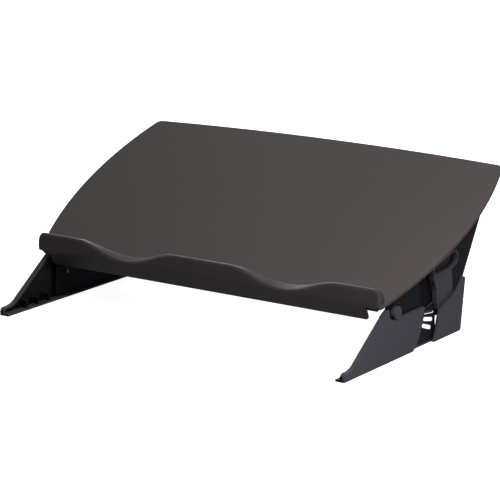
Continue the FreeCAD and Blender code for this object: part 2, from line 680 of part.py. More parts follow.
def rail(side, label):
    """Rail with a C-shaped section, screwed on the deck."""
    body = new_body(label, SLOPE)
    front, back = rail_ends()
    centre = side * d.rail_place
    half = d.rail_width / 2
    top_feature(body, "Pad", "bar", box_corners(centre - half, centre + half, front, back),
                deck_top, rail_top)
    inner = half - d.rail_wall
    top_feature(body, "Pocket", "cavity", box_corners(centre - inner, centre + inner, front, back),
                deck_top + d.rail_wall, rail_top - d.rail_wall)
    mouth = d.rail_mouth / 2
    top_feature(body, "Pocket", "mouth", box_corners(centre - mouth, centre + mouth, front, back),
                rail_top - d.rail_wall, rail_top)
    centres = [(centre, v) for v in rail_screw_places()]
    top_circles(body, "Pocket", "screw_holes", centres, d.screw_radius + d.fit_gap, deck_top,
                deck_top + d.rail_wall)
    return body


def rail_buffer(name, side, v):
    """Rubber block in the end of a rail."""
    half = d.rail_width / 2 - d.rail_wall
    box = doc.addObject("Part::Box", name)
    put(box, "Length", 2 * half)
    put(box, "Width", d.buffer_length)
    put(box, "Height", d.rail_height - 2 * d.rail_wall)
    box.Placement = slope_place(side * d.rail_place - half, v, deck_top + d.rail_wall)
    return box


def lever_pin(side, label):
    """Steel pin along Y: through the knuckle of the panel and into the lever."""
    start = Vector(float(side * lever_pin_x), float(d.knuckle_y - d.pin_length / 2) - MIDDLE,
                   float(d.lever_pin_z))
    return cylinder(label, Placement(start, Rotation(Vector(1, 0, 0), -90)), d.pin_radius,
                    d.pin_length)


def lever_spring(side, label):
    """Leaf of spring steel, flat on the panel, whose free end presses the lever's stem out."""
    body = new_body(label)
    thick = d.leaf_thick
    base = d.panel_outer
    points = [(base, d.leaf_top), (base, d.leaf_bend), (base + d.leaf_press, d.leaf_tip_bend),
              (base + d.leaf_press, d.leaf_tip)]
    outline = [(x * side, z) for x, z in points]
    outline += [((x + thick) * side, z) for x, z in points[::-1]]
    front = d.knuckle_y + d.leaf_offset
    front_feature(body, "Pad", "leaf", edges_of(outline), front, front + d.leaf_width)
    return body


# ---------------------------------------------------------------- latch levers
def stem_outline():
    """Side view of the lever's upright, from its foot beside the heel to the finger pad."""
    corners = [
        (d.stem_toe_y, d.stem_toe_z), (d.stem_sole_y, d.stem_sole_z),
        (d.stem_calf_y, d.stem_calf_z), (d.stem_back_y, d.stem_top_z),
        (d.stem_front_y, d.stem_top_z), (d.stem_front_y, d.stem_shoulder_z),
        (d.stem_waist_y, d.stem_waist_z), (d.stem_shin_y, d.stem_calf_z),
    ]
    return edges_of([(*corner, d.stem_radius) for corner in corners])


def arm_outline():
    """Thin arm that reaches from the stem's foot to the latch slots, with a lug at its root."""
    corners = [
        (d.arm_front_y, d.arm_front_z), (d.arm_root_y, d.arm_back_z), (d.arm_drop_y, d.arm_drop_z),
        (d.arm_back_y, d.arm_drop_z), (d.arm_back_y, d.arm_top_z), (d.arm_root_y, d.arm_top_z),
        (d.arm_knee_y, d.arm_knee_z), (d.arm_front_y, d.arm_front_top_z),
    ]
    return edges_of([(*corner, d.corner_round) for corner in corners])


def touch_angle(point, centre, radius, turn):
    """Angle on a circle, in degrees, where a line from a point outside it touches it."""
    dy, dz = float(point[0] - centre[0]), float(point[1] - centre[1])
    return math.degrees(math.atan2(dz, dy) + turn * math.acos(radius / math.hypot(dy, dz)))


def head_outline():
    """Finger pad of the lever in side view: its long axis rises, and its back end is round."""
    centre = (d.head_back_y, d.head_back_z)
    radius = float(d.head_radius)
    front_round = d.head_rim + d.stem_radius

    def on_end(degrees):
        angle = math.radians(degrees)
        return centre[0] + radius * math.cos(angle), centre[1] + radius * math.sin(angle)

    below = (d.head_low_back_y, d.head_low_back_z)
    above = (d.head_front_y, d.head_front_z)
    return edges_of([
        (d.head_front_y, d.head_low_front_z, front_round), (*below, radius),
        on_end(touch_angle(below, centre, radius, 1)), (*on_end(0), "via"),
        on_end(touch_angle(above, centre, radius, -1)), (*above, front_round),
    ])


def latch_lever(side, label):
    body = new_body(label)
    inner = lever_inner
    outer = lever_inner + d.lever_thick
    side_feature(body, "Pad", "stem", stem_outline(), side, inner, outer)
    side_feature(body, "Pad", "head", head_outline(), side, inner + d.head_inset, outer)
    dish = inset_edges(head_outline(), d.head_rim)
    side_feature(body, "Pocket", "dish", dish, side, outer - d.dish_depth, outer)
    low = d.stem_toe_z - d.cut_spare
    beside = side * (outer + d.cut_spare)
    taper = [(side * (outer - d.lever_taper), low), (beside, low), (beside, d.lever_pin_z),
             (side * outer, d.lever_pin_z)]
    front_feature(body, "Pocket", "outer_taper", taper, d.stem_front_y - d.cut_spare,
                  d.stem_calf_y + d.cut_spare)
    side_feature(body, "Pad", "arm", arm_outline(), side, inner, inner + d.arm_thick)
    nose = new_sketch(body, "nose_outline", "YZ_Plane")
    nose.addGeometry(slot_edges(d.nose_length, d.nose_width, d.nose_shift), False)
    put(nose, "AttachmentOffset.Base.x", d.pivot_y)
    put(nose, "AttachmentOffset.Base.y", d.pivot_z)
    nose_tip = web_inner - d.side_gap
    put(nose, "AttachmentOffset.Base.z", inner if side > 0 else -nose_tip)
    add_feature(body, "Pad", "nose", nose, nose_tip - inner)
    half = d.pin_radius + d.knuckle_wall
    window = box_corners(d.knuckle_y - d.knuckle_thick / 2 - d.side_gap,
                         d.knuckle_y + d.knuckle_thick / 2 + d.side_gap,
                         d.lever_pin_z - 2 * half, d.lever_pin_z + 2 * half)
    floor = lever_pin_x + half + d.side_gap
    side_feature(body, "Pocket", "knuckle_room", window, side, inner - d.cut_spare, floor)
    front = d.stem_front_y - d.cut_spare
    back = d.knuckle_y + d.pin_length / 2 + d.side_gap
    front_circle(body, "Pocket", "pin_hole", (side * lever_pin_x, d.lever_pin_z),
                 d.pin_radius + d.run_gap, front, back)
    return body


# ---------------------------------------------------------------- platform
def plate_side_u(v):
    """Half width of the platform at a place up the slope."""
    away = v - d.plate_widest
    radius = float(d.plate_side_radius)
    return d.plate_half - radius + math.sqrt(radius * radius - away * away)


def platform_plate():
    """Wide flat plate with bowed sides and back."""
    body = new_body("platform_plate", SLOPE)
    front = float(d.plate_front)
    end = float(d.plate_back_end)
    middle = (front + end) / 2
    front_u, middle_u, back_u = plate_side_u(front), plate_side_u(middle), plate_side_u(end)
    outline = [
        (-front_u, front), (front_u, front), (middle_u, middle, "via"), (back_u, end),
        (0, d.plate_back, "via"), (-back_u, end), (-middle_u, middle, "via"),
    ]
    top_feature(body, "Pad", "sheet", outline, -d.plate_thick, plate_top)
    holes = [(u, d.ledge_screw_v) for u in ledge_screw_places]
    top_circles(body, "Pocket", "ledge_holes", holes, d.screw_radius + d.run_gap, -d.plate_thick,
                plate_top)
    for side, name in SIDES:
        centres = [(side * d.rail_place, v) for v in runner_screw_places()]
        top_circles(body, "Pocket", f"{name}_runner_holes", centres, d.screw_radius + d.fit_gap,
                    -d.plate_thick, -d.plate_thick / 3)

    bead_half = front_u - d.bead_end
    bead = box_corners(-bead_half, bead_half, d.plate_front, d.plate_front + d.bead_width)

    def corner(edge, v):
        upright = edge.BoundBox.ZLength > d.plate_thick - 0.01
        return upright and edge.BoundBox.XLength < 0.01 and abs(edge.CenterOfMass.y - v) < 0.5

    round_edges(body, "Fillet", "front_corners", lambda edge: corner(edge, front),
                d.plate_front_corner)
    round_edges(body, "Fillet", "back_corners", lambda edge: corner(edge, end),
                d.plate_back_corner)

    def top_rim(edge):
        flat_edge = edge.BoundBox.ZLength < 0.01 and abs(edge.CenterOfMass.z) < 0.01
        return flat_edge and edge.Length > 2 * math.pi * (d.screw_radius + d.run_gap) + 0.01

    round_edges(body, "Fillet", "rim", top_rim, d.plate_edge)
    top_feature(body, "Pad", "front_bead", bead, -d.plate_thick - d.bead_drop, -d.plate_thick)
    return body


def runner_screw_places():
    inset = d.runner_screw_inset
    return [runner_front + inset, (runner_front + d.runner_back) / 2, d.runner_back - inset]


def wave_edges(y):
    """Front view of what is taken off the ledge at a place along Y: two dips, wider at the back."""
    behind = (y - d.crest_y) / (d.wave_back_y - d.crest_y)
    high = d.crest_z + d.wave_spare + (y - d.crest_y) * math.tan(math.radians(d.wave_rise))
    half = wave_half + d.wave_spread * behind
    top = float(d.crest_z + 2 * d.wave_depth)
    edge = float(d.ledge_half)
    corner = float(d.ledge_end_corner)

    def dip(side):
        points = []
        for step in range(13):
            away = -1 + step / 6
            depth = d.wave_depth * (1 + math.cos(math.pi * away)) / 2
            points.append(Vector(side * float(wave_place) + away * half, high - depth, 0))
        curve = Part.BSplineCurve()
        level = Vector(1, 0, 0)
        curve.interpolate(Points=points, InitialTangent=level, FinalTangent=level)
        return points[0], curve, points[-1]

    left_start, left, left_end = dip(-1)
    right_start, right, right_end = dip(1)
    lean = corner * (1 - math.sqrt(0.5))
    start, end = Vector(corner - edge, high, 0), Vector(edge - corner, high, 0)
    low_left, low_right = Vector(-edge, high - corner, 0), Vector(edge, high - corner, 0)
    out = Vector(corner, 0, 0)
    high_left, high_right = Vector(-edge - corner, top, 0), Vector(edge + corner, top, 0)
    return [
        Part.LineSegment(start, left_start), left, Part.LineSegment(left_end, right_start), right,
        Part.LineSegment(right_end, end),
        Part.Arc(end, Vector(edge - lean, high - lean, 0), low_right),
        Part.LineSegment(low_right, low_right + out),
        Part.LineSegment(low_right + out, high_right), Part.LineSegment(high_right, high_left),
        Part.LineSegment(high_left, low_left - out), Part.LineSegment(low_left - out, low_left),
        Part.Arc(low_left, Vector(lean - edge, high - lean, 0), start),
    ]


def ledge():
    """Bar across the front of the platform that paper stands on, wavy on top, with a skirt."""
    body = new_body("ledge")
    seat = float(d.ledge_seat)
    inner = float(d.skirt_front + d.skirt_wall)
    section = [
        on_slope(d.skirt_front, -d.skirt_drop),
        (d.ledge_face_y, d.ledge_face_z, d.ledge_face_round),
        (d.crest_y - d.crest_width / 3, d.crest_z, d.crest_round),
        (d.crest_y + d.crest_width * 2 / 3, d.crest_z, d.crest_round),
        (*on_slope(d.ledge_back, d.ledge_back_height), d.corner_round),
        on_slope(d.ledge_back, seat), on_slope(inner, seat), on_slope(inner, -d.skirt_drop),
    ]
    side_feature(body, "Pad", "section", section, 1, -d.ledge_half, d.ledge_half)
    sketches = []
    run = d.wave_run
    for name, y in (("wave_front", d.crest_y - run), ("wave_back", d.wave_back_y + run)):
        sketch = new_sketch(body, name, "XZ_Plane")
        sketch.addGeometry(wave_edges(y), False)
        put(sketch, "AttachmentOffset.Base.z", -y)
        sketches.append(sketch)
    wave = body.newObject("PartDesign::SubtractiveLoft", "wave")
    wave.Profile = sketches[0]
    wave.Sections = [sketches[1]]
    wave.Ruled = True
    body.Tip = wave
    below = -d.skirt_drop - d.cut_spare
    before, behind = d.ledge_face_y - d.skirt_drop, inner + d.cut_spare
    step = [on_slope(before, below), on_slope(behind, below), on_slope(behind, seat),
            on_slope(before, seat)]
    for side, name in SIDES:
        side_feature(body, "Pocket", f"{name}_step", edges_of(step), side, skirt_half,
                     d.ledge_half + d.cut_spare)
    low_z = on_slope(inner, -d.skirt_drop)[1]

    def skirt_end(edge):
        centre = edge.CenterOfMass
        at_end = abs(abs(centre.x) - skirt_half) < 0.01
        return at_end and centre.z < low_z + 0.1 and edge.Length < d.skirt_wall + d.cut_spare

    round_edges(body, "Fillet", "skirt_corners", skirt_end, d.skirt_corner)
    sketch = new_sketch(body, "screw_holes_outline", "XY_Plane")
    draw_circles(sketch, [(u, d.ledge_screw_v) for u in ledge_screw_places],
                 d.screw_radius + d.fit_gap)
    sketch.AttachmentOffset = Placement(Vector(0, 0, d.slope_rise),
                                        Rotation(Vector(1, 0, 0), float(d.slope_angle)))
    add_feature(body, "Pocket", "screw_holes", sketch, d.ledge_screw_depth + d.ledge_seat)
    return body


def runner(side, label):
    """T-shaped runner under the platform; its foot slides in the rail."""
    body = new_body(label, SLOPE)
    centre = side * d.rail_place
    foot_half = d.rail_width / 2 - d.rail_wall - d.slide_gap
    neck_half = d.rail_mouth / 2 - d.slide_gap
    low = deck_top + d.rail_wall + d.slide_gap
    shelf = rail_top - d.rail_wall - d.slide_gap
    front, back = runner_front, d.runner_back
    for name, half, bottom, top in (("foot", foot_half, low, shelf),
                                    ("neck", neck_half, shelf, -d.plate_thick)):
        outline = box_corners(centre - half, centre + half, front, back)
        top_feature(body, "Pad", name, outline, bottom, top)
    centres = [(centre, v) for v in runner_screw_places()]
    top_circles(body, "Pocket", "screw_holes", centres, d.screw_radius + d.run_gap, low,
                -d.plate_thick)
    top_circles(body, "Pocket", "head_holes", centres, d.screw_head + d.slide_gap, low,
                low + d.screw_head_height)
    return body


# ---------------------------------------------------------------- the assembly
def build():
    parts = []
    feet = []
    plate_screws = []
    panel_screws = []
    rail_screws = []
    runner_screws = []
    buffers = []
    pads = []
    for side, name in SIDES:
        parts += [
            leg(side, f"{name}_leg"), height_plate(side, f"{name}_height_plate"),
            pivot_cap(side, f"{name}_pivot_cap"), side_panel(side, f"{name}_side_panel"),
            pivot_bush(side, f"{name}_pivot_bush"), pivot_pin(side, f"{name}_pivot_pin"),
            rail(side, f"{name}_rail"),
            lever_pin(side, f"{name}_lever_pin"), lever_spring(side, f"{name}_lever_spring"),
            latch_lever(side, f"{name}_latch_lever"), runner(side, f"{name}_runner"),
        ]
        for number, y in enumerate(foot_places):
            feet.append(foot(f"{name}_foot_{number}", side, y))
        turn = Rotation(Vector(0, 1, 0), 90 * side)
        for number, place in enumerate(bosses):
            origin = Vector(float(side * web_inner), place[0] - MIDDLE, place[1])
            plate_screws.append(screw(f"{name}_plate_screw_{number}", Placement(origin, turn),
                                      d.web_thick + d.plate_gap - d.hole_floor))
        inward = Rotation(Vector(0, 1, 0), -90 * side)
        for number, v in enumerate(panel_screw_places):
            y, z = on_slope(v, deck_under - d.deck_flange / 2)
            origin = Vector(float(side * d.panel_outer), y - MIDDLE, z)
            panel_screws.append(screw(f"{name}_panel_screw_{number}", Placement(origin, inward),
                                      d.panel_thick + d.side_gap + d.flange_thick))
        for number, v in enumerate(rail_screw_places()):
            place = slope_place(side * d.rail_place, v, deck_under)
            rail_screws.append(screw(f"{name}_rail_screw_{number}", place,
                                     d.deck_thick + d.rail_wall))
        for number, v in enumerate(runner_screw_places()):
            head_seat = deck_top + d.rail_wall + d.slide_gap + d.screw_head_height
            place = slope_place(side * d.rail_place, v, head_seat)
            runner_screws.append(screw(f"{name}_runner_screw_{number}", place,
                                       -head_seat - d.plate_thick / 3))
        front, back = rail_ends()
        buffers.append(rail_buffer(f"{name}_front_buffer", side, front))
        buffers.append(rail_buffer(f"{name}_back_buffer", side, back - d.buffer_length))
        for number, v in enumerate((d.deck_front + d.pad_inset, d.deck_back - d.pad_inset)):
            place = slope_place(side * (d.rail_place + d.pad_offset), v, deck_top)
            pads.append(cylinder(f"{name}_pad_{number}", place, d.pad_radius,
                                 d.deck_drop - d.plate_thick - d.fit_gap))
    parts += [platform_plate(), ledge(), carrier_deck()]
    parts += [
        group("rubber_feet", feet), group("height_plate_screws", plate_screws),
        group("panel_screws", panel_screws), group("rail_screws", rail_screws),
        group("runner_screws", runner_screws), group("rail_buffers", buffers),
        group("felt_pads", pads),
    ]
    wave_screws = [screw(f"ledge_screw_{number}", slope_place(u, d.ledge_screw_v, -d.plate_thick),
                         d.plate_thick + d.ledge_screw_depth)
                   for number, u in enumerate(ledge_screw_places)]
    parts.append(group("ledge_screws", wave_screws))
    return parts


def check(parts):
    """Stop if any object failed, or if a part has no sound shape."""
    for item in doc.Objects:
        if "Invalid" in item.State or "Error" in item.State:
            raise RuntimeError(f"{item.Label} failed: {item.State}")
    for item in parts:
        if item.Shape.isNull() or not item.Shape.isValid():
            raise RuntimeError(f"{item.Label} has no valid shape")


parts = build()
doc.recompute()
check(parts)
os.makedirs("parts", exist_ok=True)
for item in parts:
    item.Shape.exportStep(f"parts/{item.Label}.step")
    print(item.Label, len(item.Shape.Solids), round(item.Shape.Volume, 1))
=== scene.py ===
# %% [markdown]
# # Gliding document slope
#
# This notebook dresses a desk slope: a wide platform with a wavy ledge, which glides on a carrier
# between two hollow legs. The carrier has a squeeze lever at each side. Nearly every piece that
# shows is an injection moulding, so most of the work here is in edges and in plastics: a moulding
# never has a knife edge, and it is that small round edge that catches the light.

# %% Load the frame
import math
import bmesh
import bpy
from mathutils import Matrix, Vector, noise


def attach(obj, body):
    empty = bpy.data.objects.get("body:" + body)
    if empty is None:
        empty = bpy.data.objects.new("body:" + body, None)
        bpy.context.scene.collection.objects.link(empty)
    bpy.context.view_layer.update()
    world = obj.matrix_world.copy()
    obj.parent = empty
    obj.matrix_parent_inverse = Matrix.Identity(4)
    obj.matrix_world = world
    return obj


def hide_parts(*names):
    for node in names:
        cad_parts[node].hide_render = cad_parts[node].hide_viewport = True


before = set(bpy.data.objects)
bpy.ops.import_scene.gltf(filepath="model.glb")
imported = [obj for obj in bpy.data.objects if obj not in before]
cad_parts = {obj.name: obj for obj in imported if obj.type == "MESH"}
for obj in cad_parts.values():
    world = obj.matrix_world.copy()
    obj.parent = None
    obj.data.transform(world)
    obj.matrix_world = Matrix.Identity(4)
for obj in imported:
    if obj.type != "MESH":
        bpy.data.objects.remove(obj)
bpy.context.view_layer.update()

MM = 0.001

# %% [markdown]
# ## Camera
#
# A wide, low object looks right from well back, through a long lens, which keeps the far leg
# nearly as large as the near one. The camera is given by what it looks at, from which side, how
# high and from how far. Its axes are built by hand instead of with a Track To constraint, so that
# the small roll goes straight into the matrix.

# %% Camera
LOOK_AT = Vector((0.02215, -0.02946, 0.09275))
AZIMUTH, ELEVATION, ROLL = math.radians(33.721), math.radians(13.715), math.radians(0.407)
DISTANCE = 2.79217
LENS_MM, SENSOR_MM = 164.41, 36.0

away = Vector((math.sin(AZIMUTH) * math.cos(ELEVATION), -math.cos(AZIMUTH) * math.cos(ELEVATION),
               math.sin(ELEVATION)))
level = (-away).cross(Vector((0, 0, 1))).normalized()
upright = level.cross(-away)
right = level * math.cos(ROLL) + upright * math.sin(ROLL)
up = upright * math.cos(ROLL) - level * math.sin(ROLL)
lens = bpy.data.cameras.new("camera")
lens.lens, lens.sensor_width, lens.sensor_fit = LENS_MM, SENSOR_MM, "HORIZONTAL"
camera = bpy.data.objects.new("camera", lens)
turn = Matrix((right, up, away)).transposed().to_4x4()
camera.matrix_world = Matrix.Translation(LOOK_AT + away * DISTANCE) @ turn
bpy.context.collection.objects.link(camera)
bpy.context.scene.camera = camera
print("camera stands at", [round(value, 3) for value in camera.matrix_world.translation])

# %% [markdown]
# ## Colours and nodes
#
# Colours are written the way a colour picker shows them, as sRGB hex, and turned into the linear
# values that the shaders work in. One helper adds any kind of node: settings go in a dictionary,
# inputs as keywords, and an input takes either a value or another node's output.

# %% Colours and nodes
def linear(code, alpha=1.0):
    """sRGB hex to the linear colour that the shaders work in."""
    parts = [int(code[index:index + 2], 16) / 255 for index in (1, 3, 5)]
    return (*[p / 12.92 if p <= 0.04045 else ((p + 0.055) / 1.055) ** 2.4 for p in parts], alpha)


def node(material, kind, settings=None, **inputs):
    """Add one node; _0 means its first input, and an underscore in a name means a space."""
    tree = material.node_tree
    made = tree.nodes.new(kind)
    for name, value in (settings or {}).items():
        setattr(made, name, value)
    for name, value in inputs.items():
        key = int(name[1:]) if name[1:].isdigit() else name.replace("_", " ")
        if isinstance(value, bpy.types.NodeSocket):
            tree.links.new(value, made.inputs[key])
        else:
            made.inputs[key].default_value = value
    return made


def new_material(name):
    """A material with an empty node tree."""
    material = bpy.data.materials.new(name)
    material.use_nodes = True
    material.node_tree.nodes.clear()
    return material


# %% [markdown]
# ## Floor and sky
#
# The slope stands on a white sweep. A white ground is asked of the colour that the camera and the
# reflections see, and not of more light on the object, so the dark plastics keep their own values.
# The Light Path node tells those rays from the ones that carry light. The floor stays a little
# less than fully its own light, so the object's soft shadow still shows on it.

# %% Floor and sky
FLOOR_SIZE, FLOOR_GLOW = 14, 0.95
SKY_LIGHT, SKY_SEEN = 0.085, 1.0


def for_the_eye(material, real_shader, seen_shader):
    """Camera, reflections and glass see one shader; the rays that carry light see the other."""
    path = node(material, "ShaderNodeLightPath")
    glossy = node(material, "ShaderNodeMath", {"operation": "MAXIMUM"},
                  _0=path.outputs["Is Camera Ray"], _1=path.outputs["Is Glossy Ray"])
    seen = node(material, "ShaderNodeMath", {"operation": "MAXIMUM"},
                _0=glossy.outputs[0], _1=path.outputs["Is Transmission Ray"])
    return node(material, "ShaderNodeMixShader", None, _0=seen.outputs[0],
                _1=real_shader, _2=seen_shader)


bpy.ops.mesh.primitive_plane_add(size=FLOOR_SIZE, location=(0, 0, 0))
floor = bpy.context.object
floor.name = "floor"
sweep = new_material("floor_paper_sweep")
paper = node(sweep, "ShaderNodeBsdfDiffuse", Color=linear("#606060"))
lit_paper = node(sweep, "ShaderNodeBsdfDiffuse", Color=linear("#e8e8e8"))
glow = node(sweep, "ShaderNodeEmission", Color=linear("#ffffff"), Strength=FLOOR_GLOW)
white = node(sweep, "ShaderNodeAddShader", None, _0=lit_paper.outputs[0], _1=glow.outputs[0])
ground = for_the_eye(sweep, paper.outputs[0], white.outputs[0])
node(sweep, "ShaderNodeOutputMaterial", Surface=ground.outputs[0])
floor.data.materials.append(sweep)

world = bpy.data.worlds.new("sky")
bpy.context.scene.world = world
world.use_nodes = True
world.node_tree.nodes.clear()
dim = node(world, "ShaderNodeBackground", Color=linear("#ffffff"), Strength=SKY_LIGHT)
bright = node(world, "ShaderNodeBackground", Color=linear("#ffffff"), Strength=SKY_SEEN)
mixed = for_the_eye(world, dim.outputs[0], bright.outputs[0])
node(world, "ShaderNodeOutputWorld", Surface=mixed.outputs[0])
bpy.context.scene.view_settings.view_transform = "Standard"
print("floor", floor.name, "and sky", world.name)

# %% [markdown]
# ## Lamps
#
# One soft disc lamp stands at the right, before the object, and lights the platform and the right
# leg. Light falls off with distance, so the wide ledge is bright at its right end and dark at its
# left one, which is what gives the long wave its shape. A second lamp above lifts the platform,
# and two at the back and the left keep those sides readable when the object is turned.

# %% Lamps
def lamp(name, place, aim, size, watts):
    """A round area lamp at a place, turned to an aim; places and size in metres."""
    light = bpy.data.lights.new(name, "AREA")
    light.shape, light.size, light.energy = "DISK", size, watts
    holder = bpy.data.objects.new(name, light)
    direction = Vector(aim) - Vector(place)
    holder.matrix_world = (Matrix.Translation(place) @
                           direction.to_track_quat("-Z", "Y").to_matrix().to_4x4())
    bpy.context.collection.objects.link(holder)


lamp("key_lamp", (0.72, -0.42, 0.62), (0.1, 0, 0.08), 0.4, 7)
lamp("top_lamp", (0.25, 0.6, 1.6), (0, 0, 0.1), 0.9, 9)
lamp("back_lamp", (-0.9, 1.3, 0.7), (0, 0.1, 0.1), 0.6, 9)
lamp("left_lamp", (-1.5, -0.1, 0.6), (-0.25, 0, 0.05), 0.4, 5)
print("lamps:", [light.name for light in bpy.data.lights])

# %% [markdown]
# ## Moulded plastics
#
# The platform, ledge, legs, levers and carrier are ABS. Its surface copies the mould's: a fine
# spark-eroded grain, about a third of a millimetre from crest to crest, that makes it satin. Such
# a grain is too fine to see from arm's length, so it is drawn at twice that size. On top of it
# comes a slow unevenness in gloss, from cooling and handling. The grain is noise on Object
# coordinates, which has no seams and needs no UV map.
#
# A mould's edges are polished to a small radius. The Bevel node turns the normals near each edge
# as if it were rounded by that radius, which costs no geometry; a Bevel modifier would do the
# same in the mesh, but the solids' curved faces are already cut into narrow strips that a
# modifier trips over.
#
# Legs and levers are taken as two-shot mouldings, a slate skin over a black core. The core shows
# on the inner face of a leg's shell and on its ribs, on the floor of a lever's finger pad and on
# its arm.
# Each of those is a flat face at a known distance from the middle, so a comparison on |X| and on
# which way the face looks picks it out, with no second material slot.

# %% Plastics
CLOUD_MM = 60           # size of the slow unevenness in gloss and tone
TONE_SWING, GLOSS_SWING = 0.06, 0.05
PLASTIC_IOR = 1.52


def moulded(name, colour, roughness, grain_mm, depth_mm, edge_mm, sheen=0.5):
    """A moulded plastic: its grain's width and depth and its edges' radius are in mm."""
    material = new_material(name)
    place = node(material, "ShaderNodeTexCoord").outputs["Object"]
    cloud = node(material, "ShaderNodeTexNoise", Vector=place, Scale=1 / (CLOUD_MM * MM),
                 Detail=3.0)
    tone = node(material, "ShaderNodeMix", {"data_type": "RGBA"}, _0=cloud.outputs["Fac"],
                _6=[c * (1 - TONE_SWING) for c in linear(colour)[:3]] + [1.0],
                _7=[c * (1 + TONE_SWING) for c in linear(colour)[:3]] + [1.0])
    gloss = node(material, "ShaderNodeMapRange", None, Value=cloud.outputs["Fac"],
                 To_Min=roughness - GLOSS_SWING, To_Max=roughness + GLOSS_SWING)
    grain = node(material, "ShaderNodeTexNoise", Vector=place, Scale=1 / (grain_mm * MM),
                 Detail=2.0, Roughness=0.6)
    edge = node(material, "ShaderNodeBevel", {"samples": 6}, Radius=edge_mm * MM)
    relief = node(material, "ShaderNodeBump", Height=grain.outputs["Fac"],
                  Distance=depth_mm * MM, Strength=0.6, Normal=edge.outputs[0])
    skin = node(material, "ShaderNodeBsdfPrincipled", Base_Color=tone.outputs[2],
                Roughness=gloss.outputs[0], Normal=relief.outputs[0], IOR=PLASTIC_IOR,
                Specular_IOR_Level=sheen)
    node(material, "ShaderNodeOutputMaterial", Surface=skin.outputs[0])
    return material


FACE_ON, EDGE_ON = 0.5, 0.9   # how squarely a face has to look along X, and a rib's side along Y


def paint_shade_on_faces(material, second, bands, facing_out, rib_limit=0.0):
    """Paint shade onto a moulding: a second, darker colour on the flat faces that lie in bands of
    |X|, in mm.

    Only faces that look outwards are taken (facing_out 1), or only those that look in (-1).
    With a rib_limit, so are the sides of ribs and walls that lie nearer to the middle than that.
    """
    place = node(material, "ShaderNodeTexCoord").outputs["Object"]
    across = node(material, "ShaderNodeSeparateXYZ", _0=place).outputs["X"]
    reach = node(material, "ShaderNodeMath", {"operation": "ABSOLUTE"}, _0=across)
    side = node(material, "ShaderNodeMath", {"operation": "SIGN"}, _0=across)
    geometry = node(material, "ShaderNodeNewGeometry")
    facing = node(material, "ShaderNodeSeparateXYZ", _0=geometry.outputs["True Normal"])
    outward = node(material, "ShaderNodeMath", {"operation": "MULTIPLY"},
                   _0=side.outputs[0], _1=facing.outputs["X"])
    looks = node(material, "ShaderNodeMath", {"operation": "COMPARE"},
                 _0=outward.outputs[0], _1=float(facing_out), _2=FACE_ON)
    taken = None
    for centre, half in bands:
        band = node(material, "ShaderNodeMath", {"operation": "COMPARE"},
                    _0=reach.outputs[0], _1=centre * MM, _2=half * MM)
        taken = band if taken is None else node(
            material, "ShaderNodeMath", {"operation": "MAXIMUM"},
            _0=taken.outputs[0], _1=band.outputs[0])
    within = node(material, "ShaderNodeMath", {"operation": "MULTIPLY"},
                  _0=taken.outputs[0], _1=looks.outputs[0])
    turned = node(material, "ShaderNodeMath", {"operation": "ABSOLUTE"},
                  _0=facing.outputs["Y"])
    crosswise = node(material, "ShaderNodeMath", {"operation": "GREATER_THAN"},
                     _0=turned.outputs[0], _1=EDGE_ON)
    inside = node(material, "ShaderNodeMath", {"operation": "LESS_THAN"},
                  _0=reach.outputs[0], _1=rib_limit * MM)
    rib_side = node(material, "ShaderNodeMath", {"operation": "MULTIPLY"},
                    _0=crosswise.outputs[0], _1=inside.outputs[0])
    within = node(material, "ShaderNodeMath", {"operation": "MAXIMUM"},
                  _0=within.outputs[0], _1=rib_side.outputs[0])
    skin = next(n for n in material.node_tree.nodes if n.type == "BSDF_PRINCIPLED")
    first = skin.inputs["Base Color"].links[0].from_socket
    # The painted shade colour goes in wherever the mask says a face lies in shade.
    tone = node(material, "ShaderNodeMix", {"data_type": "RGBA"}, _0=within.outputs[0],
                _6=first, _7=linear(second))
    material.node_tree.links.new(tone.outputs[2], skin.inputs["Base Color"])
    return material


# Each band is the middle and the half width of a range of |X| in mm, where shade is painted.
SHADED_SKIN_BAND, SHADED_RIB_BAND, SHADED_RIB_LIMIT = (249.0, 1.8), (240.7, 1.5), 248.1
SHADED_DISH_BAND, SHADED_ARM_BAND = (242.6, 0.7), (241.4, 0.5)
platform_abs = moulded("platform_abs_fine_grain", "#4a4544", 0.6, 0.7, 0.05, 0.8, sheen=0.05)
ledge_abs = moulded("ledge_abs_satin", "#3f3839", 0.42, 0.6, 0.02, 1.0, sheen=0.05)
cap_abs = moulded("cap_abs_slate", "#42434a", 0.6, 0.7, 0.04, 1.0, sheen=0.05)
# Painted shade: the lever's finger-pad floor and its arm get near-black for the shade in those
# recesses.
lever_abs = paint_shade_on_faces(moulded("lever_abs_slate_painted_shade", "#42434a", 0.6, 0.7, 0.04, 1.4, sheen=0.05),
                     "#101015", (SHADED_DISH_BAND, SHADED_ARM_BAND), 1)
# Painted shade: the leg's inner skin face and its ribs get near-black for the shade under the
# platform.
leg_abs = paint_shade_on_faces(moulded("leg_abs_slate_painted_shade", "#43444b", 0.6, 0.7, 0.04, 0.7, sheen=0.05),
                   "#030304", (SHADED_SKIN_BAND, SHADED_RIB_BAND), -1, SHADED_RIB_LIMIT)
black_abs = moulded("carrier_abs_black", "#14151b", 0.6, 0.7, 0.04, 0.5, sheen=0.02)
print("plastics:", platform_abs.name, ledge_abs.name, leg_abs.name, lever_abs.name, black_abs.name)

# %% [markdown]
# ## Steel, rubber, felt and acetal
#
# What lies underneath is plainer but real: drawn steel for the pins and leaf springs, zinc plated
# screws, rubber for the feet and end stops, acetal for bushes and runners. Drawn steel has lines
# along its length, so its noise is stretched along X.

# %% Other finishes
STREAK_MM = 0.8
GLOSS_BELOW, GLOSS_ABOVE = 0.08, 0.1


